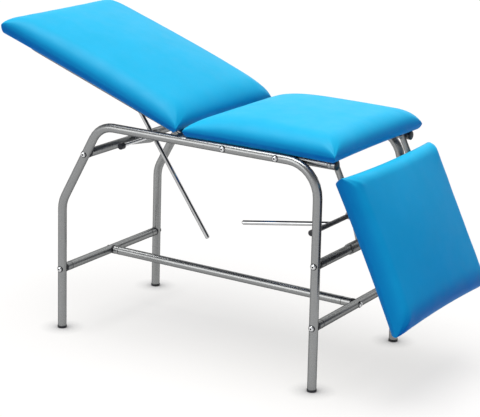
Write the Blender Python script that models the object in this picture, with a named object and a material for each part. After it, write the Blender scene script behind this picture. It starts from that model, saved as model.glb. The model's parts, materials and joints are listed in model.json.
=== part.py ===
"""Examination table on a bent-tube frame, with a seat, a raised backrest and a hanging leg rest.

Metres, +Z up. +X points to the foot end, +Y to the far side. The origin is on the floor, below the
middle of the table. The backrest and the leg rest are modelled lying flat and turned on their hinges.
"""

from math import atan2, cos, hypot, pi, radians, sin

import bmesh
import bpy
from mathutils import Matrix, Vector

# Side frames: one bent tube on each side, from the rear leg over the rail to the front leg.
TUBE_R = 0.015
PAD_HALF_WIDTH = 0.300
RAIL_INSET = 0.015
RAIL_Y = PAD_HALF_WIDTH - RAIL_INSET
RAIL_Z = 0.740
REAR_LEG_X = -0.5320
FOOT_SPREAD = 0.996
FRONT_LEG_RAKE = 0.011
REAR_SLOPE_RUN = 0.154
KNEE_Z = 0.453
RAIL_START_X = REAR_LEG_X + REAR_SLOPE_RUN
FRONT_FOOT_X = REAR_LEG_X + FOOT_SPREAD
RAIL_END_X = FRONT_FOOT_X - FRONT_LEG_RAKE
KNEE_BEND_R = 0.10
RAIL_START_BEND_R = 0.09
FRONT_BEND_R = 0.11
TUBE_SIDES = 16
BEND_STEP = radians(11)

# Plastic foot cups under the legs.
FOOT_WALL = 0.0010
FOOT_BASE = 0.0045
FOOT_CUP_DEPTH = 0.0035

# Cross tubes, the stretcher and the black saddles at their ends.
LOW_BAR_Z = 0.214
FOOT_MIDDLE_BAR_Z = 0.417
HEAD_UPPER_BAR_Z = 0.6355
HEAD_UPPER_BAR_R = TUBE_R
SADDLE_LENGTH = 0.003
SADDLE_WRAP = 0.006
SADDLE_PROUD = 0.0006

# Bolts.
BOLT_R = 0.004
BOLT_HEAD_R = 0.0075
BOLT_HEAD_HEIGHT = 0.0045
WASHER_R = 0.0095
WASHER_HEIGHT = 0.0015
BOLT_REACH = 0.020
REAR_RAIL_BOLT_SETBACK = 0.353
FRONT_RAIL_BOLT_SETBACK = 0.1595
RAIL_BOLT_XS = (FRONT_FOOT_X - REAR_RAIL_BOLT_SETBACK, FRONT_FOOT_X - FRONT_RAIL_BOLT_SETBACK)

# Play between pieces that touch, and between pieces that turn on one another.
FIT = 0.0003
TURN_FIT = 0.0006

# Seat tubes inside the rails, and the two hinges at their ends.
SEAT_TUBE_Y = RAIL_Y - 2 * TUBE_R - FIT
HINGE_TO_TUBE_END = 0.018
BACK_HINGE_RUN = 0.4665
LEG_HINGE_OVERREACH = 0.016
BACK_HINGE_X = REAR_LEG_X + BACK_HINGE_RUN
LEG_HINGE_X = FRONT_FOOT_X + LEG_HINGE_OVERREACH
CAP_LENGTH = 0.006

# Pads: an upholstered cushion drawn over a board. Its seam runs round it above the drawn-in underside.
BOARD_THICKNESS = 0.012
BOARD_INSET = 0.024
BOARD_CORNER_R = 0.014
PAD_SEAM_HEIGHT = 0.022
HEAD_SEAM_HEIGHT = 0.032
PAD_EDGE_HEIGHT = 0.073
PAD_SHOULDER = 0.095
PAD_SHOULDER_POWER = 2.3
SEAT_REAR_SHOULDER = 0.220
PAD_SIDE_PULL = 0.007
PAD_UNDERCUT = 0.012
SEAT_CROWN = 0.016
BACK_CROWN = 0.032
LEG_CROWN = 0.016
SEAT_HINGE_GAP = 0.0250
SEAT_NOSE = 0.036
SEAT_START_X = BACK_HINGE_X + SEAT_HINGE_GAP
SEAT_END_X = LEG_HINGE_X + SEAT_NOSE
BACK_PAD_START = 0.0125
BACK_PAD_END = 0.772
LEG_PAD_START = 0.050
LEG_PAD_END = 0.562

# Backrest frame and the guide for its prop.
BACK_ANGLE = radians(19.0)
BACK_TUBE_R = 0.015
BACK_FRAME_END = 0.715
BACK_FRAME_BEND_R = 0.060
BACK_HINGE_OVERHANG = 0.013
GUIDE_START = 0.175
GUIDE_WEB = 0.003
GUIDE_WALL = 0.003
GUIDE_WALL_HEIGHT = 0.024
GUIDE_SLOT_START = 0.200
GUIDE_SLOT_END = 0.672

# Prop: a chrome rod through a swivelling clamp barrel on the upper head crossbar.
PROP_PIVOT_RUN = 0.174
PROP_PIVOT_X = REAR_LEG_X + PROP_PIVOT_RUN
PROP_PIVOT_Z = 0.655
PROP_ROD_R = 0.0075
PROP_HANDLE_LENGTH = 0.402
PROP_PIN_R = 0.0040
BARREL_R = 0.0150
BARREL_HALF_LENGTH = 0.019
TRUNNION_R = 0.0095
CHEEK_THICKNESS = 0.005
CHEEK_RIM = 0.009
SLEEVE_WALL = 0.003
SPINDLE_R = 0.0055
KNOB_R = 0.0115
KNOB_LENGTH = 0.020
KNOB_FACE_Y = -0.197
KNOB_SOCKET = 0.014

# Leg rest frame and its lug for the push link.
LEG_ANGLE = radians(63.6)
LEG_TUBE_R = 0.010
LEG_HINGE_OVERHANG = 0.009
LEG_FRAME_END = 0.500
LEG_FRAME_BEND_R = 0.050
LINK_PIVOT_U = 0.070
LINK_PIVOT_N = -0.020
LINK_INSET = 0.0241
LINK_THICKNESS = 0.005
LINK_EYE_R = 0.0075
LINK_PIN_R = 0.0040
PIN_HEAD_R = 0.0062
PIN_HEAD_HEIGHT = 0.0025
LUG_THICKNESS = 0.006
LUG_EYE_R = 0.0075
LEG_CROSS_TUBE_U = 0.105
LEG_CROSS_TUBE_R = 0.009

# Lever: a dark shaft in a saddle bracket on the middle crossbar, with a chrome handle.
SHAFT_SETBACK = 0.040
SHAFT_X = FRONT_FOOT_X - SHAFT_SETBACK
SHAFT_Z = 0.512
SHAFT_R = 0.008
SHAFT_HALF_LENGTH = 0.262
SHAFT_CAP_WALL = 0.0016
SHAFT_CAP_DEPTH = 0.012
SHAFT_CAP_END = 0.0025
LEVER_Y = -0.134
LEVER_R = 0.0075
LEVER_LENGTH = 0.334
LEVER_DROP = radians(9.5)
FOOT_SLEEVE_HALF_LENGTH = 0.068
UPRIGHT_Y = 0.020
UPRIGHT_THICKNESS = 0.008
BEARING_START_Y = -0.012
BEARING_END_Y = 0.052
BEARING_WALL = 0.0055

GREY_PAINT = ("frame_paint", (0.42, 0.43, 0.43), 0.38, 0.75)
DARK_PAINT = ("dark_paint", (0.07, 0.072, 0.078), 0.45, 0.40)
CHROME = ("chrome", (0.80, 0.81, 0.82), 0.08, 1.0)
ZINC = ("zinc", (0.70, 0.71, 0.72), 0.30, 1.0)
BLACK_PLASTIC = ("black_plastic", (0.015, 0.015, 0.016), 0.55, 0.0)
BLUE_VINYL = ("blue_vinyl", (0.0, 0.36, 0.72), 0.42, 0.0)
BOARD_PAINT = ("board_paint", (0.045, 0.046, 0.048), 0.65, 0.0)

ALONG_Y = Matrix.Rotation(-pi / 2, 4, "X")


def clear_scene():
    for old in list(bpy.data.objects):
        bpy.data.objects.remove(old, do_unlink=True)


def material(finish):
    name, colour, roughness, metallic = finish
    found = bpy.data.materials.get(name)
    if found:
        return found
    made = bpy.data.materials.new(name)
    made.use_nodes = True
    shader = made.node_tree.nodes["Principled BSDF"]
    shader.inputs["Base Color"].default_value = (*colour, 1.0)
    shader.inputs["Roughness"].default_value = roughness
    shader.inputs["Metallic"].default_value = metallic
    return made


def add(name, bm, finish, parent=None):
    """Makes a visible piece from a bmesh, in the frame of its parent."""
    bmesh.ops.recalc_face_normals(bm, faces=bm.faces)
    mesh = bpy.data.meshes.new(name)
    bm.to_mesh(mesh)
    bm.free()
    mesh.materials.append(material(finish))
    mesh.shade_smooth()
    mesh.set_sharp_from_angle(angle=radians(35))
    piece = bpy.data.objects.new(name, mesh)
    bpy.context.scene.collection.objects.link(piece)
    piece.parent = parent
    return piece


def helper(name, bm, parent=None):
    """Makes a hidden piece that only cuts or joins others."""
    piece = add(name, bm, GREY_PAINT, parent)
    piece.hide_render = True
    piece.display_type = "WIRE"
    return piece


def combine(piece, other, operation):
    modifier = piece.modifiers.new(other.name, "BOOLEAN")
    modifier.operation = operation
    modifier.solver = "EXACT"
    modifier.object = other


def cut(piece, *cutters):
    for cutter in cutters:
        combine(piece, cutter, "DIFFERENCE")


def join(piece, *others):
    for other in others:
        combine(piece, other, "UNION")


def pivot(name, location, turn):
    """An empty on a hinge axis along Y, turned from the flat pose to the rest pose."""
    empty = bpy.data.objects.new(name, None)
    empty.location = location
    empty.rotation_euler = (0.0, turn, 0.0)
    bpy.context.scene.collection.objects.link(empty)
    return empty


def ring(bm, centre, side, up, radius, sides):
    points = []
    for i in range(sides):
        angle = 2 * pi * (i + 0.5) / sides
        points.append(bm.verts.new(centre + radius * (cos(angle) * side + sin(angle) * up)))
    return points


def bridge(bm, first, second):
    count = len(first)
    for i in range(count):
        bm.faces.new((first[i], first[(i + 1) % count], second[(i + 1) % count], second[i]))


def rounded_path(corners, radii):
    """Points along straight runs whose inner corners are arcs of the given radii."""
    points = [Vector(corners[0])]
    for before, corner, after, radius in zip(corners, corners[1:], corners[2:], radii):
        into = (Vector(corner) - Vector(before)).normalized()
        out = (Vector(after) - Vector(corner)).normalized()
        turn = into.angle(out)
        start = Vector(corner) - into * radius * _tan_half(turn)
        inward = (out - into * into.dot(out)).normalized()
        steps = max(2, round(turn / BEND_STEP))
        for i in range(steps + 1):
            angle = turn * i / steps
            points.append(start + radius * (sin(angle) * into + (1 - cos(angle)) * inward))
    points.append(Vector(corners[-1]))
    return points


def _tan_half(angle):
    return sin(angle) / (1 + cos(angle))


def swept_tube(points, across, radius, sides=TUBE_SIDES):
    """A round bar along points that lie in the plane square to across."""
    bm = bmesh.new()
    across = Vector(across)
    rings = []
    for i, point in enumerate(points):
        before = points[max(i - 1, 0)]
        after = points[min(i + 1, len(points) - 1)]
        along = (after - before).normalized()
        rings.append(ring(bm, point, across, along.cross(across), radius, sides))
    for first, second in zip(rings, rings[1:]):
        bridge(bm, first, second)
    bm.faces.new(rings[0])
    bm.faces.new(rings[-1])
    return bm


def turned(profile, place=Matrix.Identity(4), sides=TUBE_SIDES):
    """A turned solid about local Z. The profile is (radius, z) from one end of the axis to the other."""
    bm = bmesh.new()
    x_axis, y_axis = Vector((1, 0, 0)), Vector((0, 1, 0))
    rings = [ring(bm, Vector((0, 0, z)), x_axis, y_axis, r, sides) for r, z in profile]
    for first, second in zip(rings, rings[1:]):
        bridge(bm, first, second)
    bm.faces.new(rings[0])
    bm.faces.new(rings[-1])
    bmesh.ops.transform(bm, matrix=place, verts=bm.verts)
    return bm


def bar_y(x, z, start, end, radius, sides=TUBE_SIDES):
    """A round bar along Y."""
    place = Matrix.Translation((x, 0, z)) @ ALONG_Y
    return turned([(radius, start), (radius, end)], place, sides)


def plate(outline, start, end):
    """An outline of (x, z) points made solid between two places on Y."""
    bm = bmesh.new()
    near = [bm.verts.new((x, start, z)) for x, z in outline]
    far = [bm.verts.new((x, end, z)) for x, z in outline]
    bm.faces.new(near)
    bm.faces.new(far)
    bridge(bm, near, far)
    return bm


def block(low, high):
    outline = [(low[0], low[2]), (high[0], low[2]), (high[0], high[2]), (low[0], high[2])]
    return plate(outline, low[1], high[1])


def strap(first, first_r, second, second_r, steps=8):
    """The (x, z) outline of a plate with two round ends."""
    axis = atan2(second[1] - first[1], second[0] - first[0])
    outline = []
    for centre, radius, facing in ((first, first_r, axis + pi), (second, second_r, axis)):
        for i in range(steps + 1):
            angle = facing - pi / 2 + pi * i / steps
            outline.append((centre[0] + radius * cos(angle), centre[1] + radius * sin(angle)))
    return outline


def shoulder(distance, width):
    """How far the cover has risen, from 0 on the seam to 1 where the shoulder ends."""
    left = 1 - min(distance / width, 1.0)
    return (1 - left ** PAD_SHOULDER_POWER) ** (1 / PAD_SHOULDER_POWER)


def stations(half, low_shoulder, high_shoulder):
    """Places across a pad: close together on its shoulders and even between them."""
    shares = (0.0, 0.05, 0.16, 0.36, 0.66, 1.0)
    low = [-half + low_shoulder * share for share in shares]
    high = [half - high_shoulder * share for share in reversed(shares)]
    step = (high[0] - low[-1]) / 5
    return low + [low[-1] + step * i for i in range(1, 5)] + high


def cushion(half_x, half_y, crown, low_shoulder, low_seam):
    """A sewn pad on z = 0: pointed at its corners, drawn in along its sides and highest in the middle."""
    bm = bmesh.new()
    across = stations(half_y, PAD_SHOULDER, PAD_SHOULDER)
    rows = []
    for x in stations(half_x, low_shoulder, PAD_SHOULDER):
        ends = shoulder(half_x + x, low_shoulder) * shoulder(half_x - x, PAD_SHOULDER)
        seam_z = low_seam + (PAD_SEAM_HEIGHT - low_seam) * (half_x + x) / (2 * half_x)
        row = []
        for y in across:
            rise = ends * shoulder(half_y - abs(y), PAD_SHOULDER)
            dome = (1 - (x / half_x) ** 2) * (1 - (y / half_y) ** 2)
            z = seam_z + (PAD_EDGE_HEIGHT - seam_z) * rise + crown * dome
            drawn_x = 1 - PAD_SIDE_PULL / half_x * (1 - (y / half_y) ** 2)
            drawn_y = 1 - PAD_SIDE_PULL / half_y * (1 - (x / half_x) ** 2)
            row.append(bm.verts.new((x * drawn_x, y * drawn_y, z)))
        rows.append(row)
    for first, second in zip(rows, rows[1:]):
        for i in range(len(across) - 1):
            bm.faces.new((first[i], first[i + 1], second[i + 1], second[i]))
    seam = rows[0] + [row[-1] for row in rows[1:-1]] + rows[-1][::-1] + [row[0] for row in rows[-2:0:-1]]
    rings = [seam]
    for inset, share in ((0.25 * PAD_UNDERCUT, 0.5), (PAD_UNDERCUT, 0.0)):
        size = Vector((1 - inset / half_x, 1 - inset / half_y, share))
        rings.append([bm.verts.new(v.co * size) for v in seam])
    for first, second in zip(rings, rings[1:]):
        bridge(bm, first, second)
    bm.faces.new(rings[-1])
    return bm


def rounded_board(half_x, half_y, radius, low, high, corner_steps=3):
    bm = bmesh.new()
    outline = []
    for turn, (side_x, side_y) in enumerate(((1, 1), (-1, 1), (-1, -1), (1, -1))):
        for i in range(corner_steps + 1):
            angle = (turn + i / corner_steps) * pi / 2
            x = side_x * (half_x - radius) + radius * cos(angle)
            y = side_y * (half_y - radius) + radius * sin(angle)
            outline.append((x, y))
    bottom = [bm.verts.new((x, y, low)) for x, y in outline]
    top = [bm.verts.new((x, y, high)) for x, y in outline]
    bridge(bm, bottom, top)
    bm.faces.new(bottom)
    bm.faces.new(top)
    return bm


def pad(
    name, start_x, end_x, underside_z, crown, parent=None, low_shoulder=PAD_SHOULDER, low_seam=PAD_SEAM_HEIGHT
):
    """A board and the cushion drawn over it, between two places on X."""
    centre = Matrix.Translation(((start_x + end_x) / 2, 0, underside_z))
    half_x = abs(end_x - start_x) / 2
    board_x = half_x - BOARD_INSET
    board_y = PAD_HALF_WIDTH - BOARD_INSET
    solid = rounded_board(board_x, board_y, BOARD_CORNER_R, 0.0, BOARD_THICKNESS)
    bmesh.ops.transform(solid, matrix=centre, verts=solid.verts)
    add(name + "_board", solid, BOARD_PAINT, parent)
    below = -BOARD_THICKNESS
    space = rounded_board(board_x + FIT, board_y + FIT, BOARD_CORNER_R + FIT, below, BOARD_THICKNESS + FIT)
    bmesh.ops.transform(space, matrix=centre, verts=space.verts)
    foam = cushion(half_x, PAD_HALF_WIDTH, crown, low_shoulder, low_seam)
    bmesh.ops.transform(foam, matrix=centre, verts=foam.verts)
    cut(add(name + "_cushion", foam, BLUE_VINYL, parent), helper(name + "_board_space", space, parent))


def through_bolt(name, x, z, head_y, nut_y, parent=None):
    """A domed bolt along Y, with its nut, from the outer face at head_y to the inner face at nut_y."""
    outward = 1 if head_y > nut_y else -1
    grip = abs(head_y - nut_y)
    profile = [
        (BOLT_HEAD_R * 0.45, -grip / 2 - FIT - WASHER_HEIGHT - BOLT_HEAD_HEIGHT),
        (BOLT_HEAD_R, -grip / 2 - FIT - WASHER_HEIGHT),
        (BOLT_HEAD_R, -grip / 2 - FIT),
        (BOLT_R, -grip / 2 - FIT),
        (BOLT_R, grip / 2 + FIT),
        (WASHER_R, grip / 2 + FIT),
        (WASHER_R, grip / 2 + FIT + WASHER_HEIGHT),
        (BOLT_HEAD_R, grip / 2 + FIT + WASHER_HEIGHT),
        (BOLT_HEAD_R * 0.45, grip / 2 + FIT + WASHER_HEIGHT + BOLT_HEAD_HEIGHT),
    ]
    middle = (head_y + nut_y) / 2
    turn = ALONG_Y if outward > 0 else ALONG_Y.inverted()
    place = Matrix.Translation((x, middle, z)) @ turn
    return add(name, turned(profile, place, 12), ZINC, parent)


def joint_bolt(name, x, z, side):
    """A domed bolt through a side frame into the end of a crossbar."""
    face = side * (RAIL_Y + TUBE_R)
    end = side * (RAIL_Y - TUBE_R - SADDLE_LENGTH - BOLT_REACH)
    length = abs(face - end)
    profile = [
        (BOLT_R, 0.0),
        (BOLT_R, length + FIT),
        (WASHER_R, length + FIT),
        (WASHER_R, length + FIT + WASHER_HEIGHT),
        (BOLT_HEAD_R, length + FIT + WASHER_HEIGHT),
        (BOLT_HEAD_R * 0.45, length + FIT + WASHER_HEIGHT + BOLT_HEAD_HEIGHT),
    ]
    turn = ALONG_Y if side > 0 else ALONG_Y.inverted()
    place = Matrix.Translation((x, end, z)) @ turn
    return add(name, turned(profile, place, 12), ZINC)


def bolt_hole(name, x, z, start, end, radius=BOLT_R + FIT, parent=None):
    return helper(name, bar_y(x, z, min(start, end), max(start, end), radius, 12), parent)


def slope_x(z):
    """Where the middle of the rear tube lies at a height between the knee and the rail."""
    return REAR_LEG_X + (RAIL_START_X - REAR_LEG_X) * (z - KNEE_Z) / (RAIL_Z - KNEE_Z)


def front_leg_x(z):
    return FRONT_FOOT_X + (RAIL_END_X - FRONT_FOOT_X) * z / RAIL_Z


SIDES = (("near", -1), ("far", 1))
CROSSBARS = (
    ("head_lower", REAR_LEG_X, LOW_BAR_Z, TUBE_R),
    ("head_upper", slope_x(HEAD_UPPER_BAR_Z), HEAD_UPPER_BAR_Z, HEAD_UPPER_BAR_R),
    ("foot_lower", front_leg_x(LOW_BAR_Z), LOW_BAR_Z, TUBE_R),
    ("foot_middle", front_leg_x(FOOT_MIDDLE_BAR_Z), FOOT_MIDDLE_BAR_Z, TUBE_R),
)
LEG_BOTTOM = FOOT_BASE + FIT
BACK_HINGE = Vector((BACK_HINGE_X, 0, RAIL_Z))
LEG_HINGE = Vector((LEG_HINGE_X, 0, RAIL_Z))
BACK_TUBE_Y = SEAT_TUBE_Y - TUBE_R - TURN_FIT - BACK_TUBE_R
LEG_TUBE_Y = SEAT_TUBE_Y - TUBE_R - TURN_FIT - LEG_TUBE_R
LINK_Y = LEG_TUBE_Y - LINK_INSET
PROP_PIVOT = Vector((PROP_PIVOT_X, 0, PROP_PIVOT_Z))
SHAFT = Vector((SHAFT_X, 0, SHAFT_Z))
PROP_BASE = BACK_HINGE - PROP_PIVOT
PROP_LENGTH = hypot(PROP_BASE.x, PROP_BASE.z)
PROP_ANGLE = 2 * BACK_ANGLE + atan2(PROP_BASE.z, PROP_BASE.x)


def make_side_frames():
    corners = [
        (REAR_LEG_X, 0, LEG_BOTTOM),
        (REAR_LEG_X, 0, KNEE_Z),
        (RAIL_START_X, 0, RAIL_Z),
        (RAIL_END_X, 0, RAIL_Z),
        (front_leg_x(LEG_BOTTOM), 0, LEG_BOTTOM),
    ]
    radii = (KNEE_BEND_R, RAIL_START_BEND_R, FRONT_BEND_R)
    path = rounded_path(corners, radii)
    for label, side in SIDES:
        shift = Vector((0, side * RAIL_Y, 0))
        line = [point + shift for point in path]
        frame = add(f"side_frame_{label}", swept_tube(line, (0, 1, 0), TUBE_R), GREY_PAINT)
        space = helper(f"side_frame_space_{label}", swept_tube(line, (0, 1, 0), TUBE_R + FIT))
        outer = side * (RAIL_Y + 2 * TUBE_R)
        for name, x, z, radius in CROSSBARS:
            inner = side * (RAIL_Y - TUBE_R - SADDLE_LENGTH)
            saddle_end = inner + side * (SADDLE_LENGTH + SADDLE_WRAP)
            saddle = add(
                f"{name}_saddle_{label}",
                bar_y(x, z, min(inner, saddle_end), max(inner, saddle_end), radius + SADDLE_PROUD),
                BLACK_PLASTIC,
            )
            hole_end = inner - side * (BOLT_REACH + FIT)
            hole = bolt_hole(f"{name}_hole_{label}", x, z, outer, hole_end)
            cut(saddle, space, hole)
            cut(frame, hole)
            joint_bolt(f"{name}_bolt_{label}", x, z, side)
        for i, x in enumerate(RAIL_BOLT_XS):
            hole = bolt_hole(f"rail_hole_{label}_{i}", x, RAIL_Z, outer, side * (SEAT_TUBE_Y - 2 * TUBE_R))
            cut(frame, hole)
        for end, x in (("rear", REAR_LEG_X), ("front", front_leg_x(LEG_BOTTOM))):
            make_foot_cup(f"foot_cup_{end}_{label}", x, side * RAIL_Y)


def make_foot_cup(name, x, y):
    bore = TUBE_R + FIT
    outer = bore + FOOT_WALL
    top = FOOT_BASE + FOOT_CUP_DEPTH
    lip = 0.4 * FOOT_WALL
    profile = [
        (outer - FOOT_WALL, 0.0),
        (outer, FOOT_WALL),
        (outer, top - lip),
        (outer - lip, top),
        (bore, top),
        (bore, FOOT_BASE),
    ]
    add(name, turned(profile, Matrix.Translation((x, y, 0))), BLACK_PLASTIC)


def make_crossbars():
    reach = RAIL_Y - TUBE_R - SADDLE_LENGTH - FIT
    for name, x, z, radius in CROSSBARS:
        bar = add(f"{name}_crossbar", bar_y(x, z, -reach, reach, radius), GREY_PAINT)
        for label, side in SIDES:
            cut(bar, bpy.data.objects[f"{name}_hole_{label}"])


def make_stretcher():
    """The long tube between the two low crossbars, with a saddle at each end."""
    ends = ((REAR_LEG_X, 1, "head"), (front_leg_x(LOW_BAR_Z), -1, "foot"))
    inner = []
    for x, way, label in ends:
        face = x + way * (TUBE_R + SADDLE_LENGTH)
        start = face - way * (SADDLE_LENGTH + SADDLE_WRAP)
        place = Matrix.Translation((0, 0, LOW_BAR_Z)) @ Matrix.Rotation(pi / 2, 4, "Y")
        profile = [(TUBE_R + SADDLE_PROUD, min(face, start)), (TUBE_R + SADDLE_PROUD, max(face, start))]
        saddle = add(f"stretcher_saddle_{label}", turned(profile, place), BLACK_PLASTIC)
        space = helper(f"stretcher_space_{label}", bar_y(x, LOW_BAR_Z, -2 * TUBE_R, 2 * TUBE_R, TUBE_R + FIT))
        cut(saddle, space)
        inner.append(face + way * FIT)
    place = Matrix.Translation((0, 0, LOW_BAR_Z)) @ Matrix.Rotation(pi / 2, 4, "Y")
    add("stretcher", turned([(TUBE_R, inner[0]), (TUBE_R, inner[1])], place), GREY_PAINT)


def make_seat():
    start = BACK_HINGE_X - HINGE_TO_TUBE_END
    end = LEG_HINGE_X + HINGE_TO_TUBE_END
    along_x = Matrix.Rotation(pi / 2, 4, "Y")
    for label, side in SIDES:
        place = Matrix.Translation((0, side * SEAT_TUBE_Y, RAIL_Z)) @ along_x
        tube = add(f"seat_tube_{label}", turned([(TUBE_R, start), (TUBE_R, end)], place), GREY_PAINT)
        cap = [
            (TUBE_R, end + FIT),
            (TUBE_R, end + 0.6 * CAP_LENGTH),
            (0.72 * TUBE_R, end + CAP_LENGTH),
        ]
        add(f"seat_tube_cap_{label}", turned(cap, place), BLACK_PLASTIC)
        outer = side * (RAIL_Y + TUBE_R)
        inner = side * (SEAT_TUBE_Y - TUBE_R)
        for i, x in enumerate(RAIL_BOLT_XS):
            cut(tube, bpy.data.objects[f"rail_hole_{label}_{i}"])
            through_bolt(f"rail_bolt_{label}_{i + 1}", x, RAIL_Z, outer, inner)
        hinge_outer = side * (SEAT_TUBE_Y + TUBE_R)
        hinges = (("back", BACK_HINGE_X, BACK_TUBE_Y - BACK_TUBE_R), ("leg", LEG_HINGE_X, LEG_TUBE_Y - LEG_TUBE_R))
        for name, x, arm_face in hinges:
            hole = bolt_hole(f"{name}_hinge_hole_{label}", x, RAIL_Z, side * RAIL_Y, side * (arm_face - TUBE_R))
            cut(tube, hole)
            nut_y = side * (arm_face - TURN_FIT)
            if name == "back":
                make_hinge_pin(f"{name}_hinge_pin_{label}", x, hinge_outer, nut_y)
            else:
                through_bolt(f"{name}_hinge_bolt_{label}", x, RAIL_Z, hinge_outer, nut_y)
    underside = RAIL_Z + TUBE_R + FIT
    pad("seat", SEAT_START_X, SEAT_END_X, underside, SEAT_CROWN, low_shoulder=SEAT_REAR_SHOULDER)


def make_hinge_pin(name, x, outer, nut_y):
    """The backrest pin: flush in the seat tube beside the rail, with its nut on the inner side."""
    way = 1 if outer > nut_y else -1
    grip = abs(outer - nut_y)
    profile = [
        (BOLT_R, -grip / 2),
        (BOLT_R, grip / 2 + FIT),
        (WASHER_R, grip / 2 + FIT),
        (WASHER_R, grip / 2 + FIT + WASHER_HEIGHT),
        (BOLT_HEAD_R, grip / 2 + FIT + WASHER_HEIGHT),
        (BOLT_HEAD_R * 0.45, grip / 2 + FIT + WASHER_HEIGHT + BOLT_HEAD_HEIGHT),
    ]
    turn = ALONG_Y if way < 0 else ALONG_Y.inverted()
    place = Matrix.Translation((x, (outer + nut_y) / 2, RAIL_Z)) @ turn
    add(name, turned(profile, place, 12), ZINC)


def u_frame(way, overhang, end, half_width, radius, bend_r):
    """A U-shaped tube in the plane z = 0, open at the hinge and closed at the far end."""
    corners = [
        (-way * overhang, -half_width, 0),
        (way * end, -half_width, 0),
        (way * end, half_width, 0),
        (-way * overhang, half_width, 0),
    ]
    return swept_tube(rounded_path(corners, (bend_r, bend_r)), (0, 0, 1), radius)


def make_backrest():
    """The backrest lies along -X from its hinge before it is turned up."""
    hinge = pivot("backrest_hinge", BACK_HINGE, BACK_ANGLE)
    tube = u_frame(-1, BACK_HINGE_OVERHANG, BACK_FRAME_END, BACK_TUBE_Y, BACK_TUBE_R, BACK_FRAME_BEND_R)
    frame = add("backrest_frame", tube, GREY_PAINT, hinge)
    for label, side in SIDES:
        hole = bolt_hole(
            f"backrest_pin_hole_{label}", 0, 0, side * (BACK_TUBE_Y - 2 * BACK_TUBE_R), side * SEAT_TUBE_Y,
            BOLT_R + FIT, hinge,
        )
        cut(frame, hole)
    underside = BACK_TUBE_R + FIT
    pad("backrest", -BACK_PAD_END, -BACK_PAD_START, underside, BACK_CROWN, hinge, low_seam=HEAD_SEAM_HEIGHT)
    inner = PROP_ROD_R + TURN_FIT
    outer = inner + GUIDE_WALL
    top = underside - FIT
    bar = block((-BACK_FRAME_END, -outer, top - GUIDE_WALL_HEIGHT), (-GUIDE_START, outer, top))
    past = GUIDE_WALL_HEIGHT
    channel = block((-BACK_FRAME_END - past, -inner, -2 * past), (-GUIDE_START + past, inner, top - GUIDE_WEB))
    slot_r = PROP_PIN_R + TURN_FIT
    slot = strap((-GUIDE_SLOT_END, 0), slot_r, (-GUIDE_SLOT_START, 0), slot_r)
    guide = helper("backrest_guide", bar, hinge)
    cut(
        guide,
        helper("guide_channel", channel, hinge),
        helper("guide_slot", plate(slot, -2 * outer, 2 * outer), hinge),
    )
    join(frame, guide)


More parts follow.
